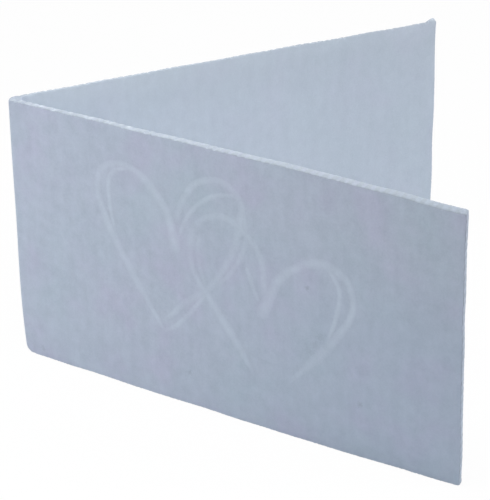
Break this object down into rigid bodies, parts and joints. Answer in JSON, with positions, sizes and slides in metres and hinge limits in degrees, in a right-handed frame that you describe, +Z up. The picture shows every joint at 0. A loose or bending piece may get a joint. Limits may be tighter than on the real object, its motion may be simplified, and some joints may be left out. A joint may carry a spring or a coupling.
{
  "type": "greeting card",
  "caption": "Small folded card of thick pale blue-grey stock with torn perforated edges, standing open in a V, with loosely drawn linked hearts in raised pearl print on its front panel.",
  "frame": {"origin": "on the surface the card stands on, below the middle of its box", "axes": "+X along the front panel from the fold to the free edge, the front panel faces -Y, +Z up"},
  "size_m": [0.058, 0.053, 0.0315],
  "materials": {
    "card_stock": "uncoated, softly mottled"
  },
  "bodies": {
    "root": {"card": "card_stock"}
  },
  "joints": []
}
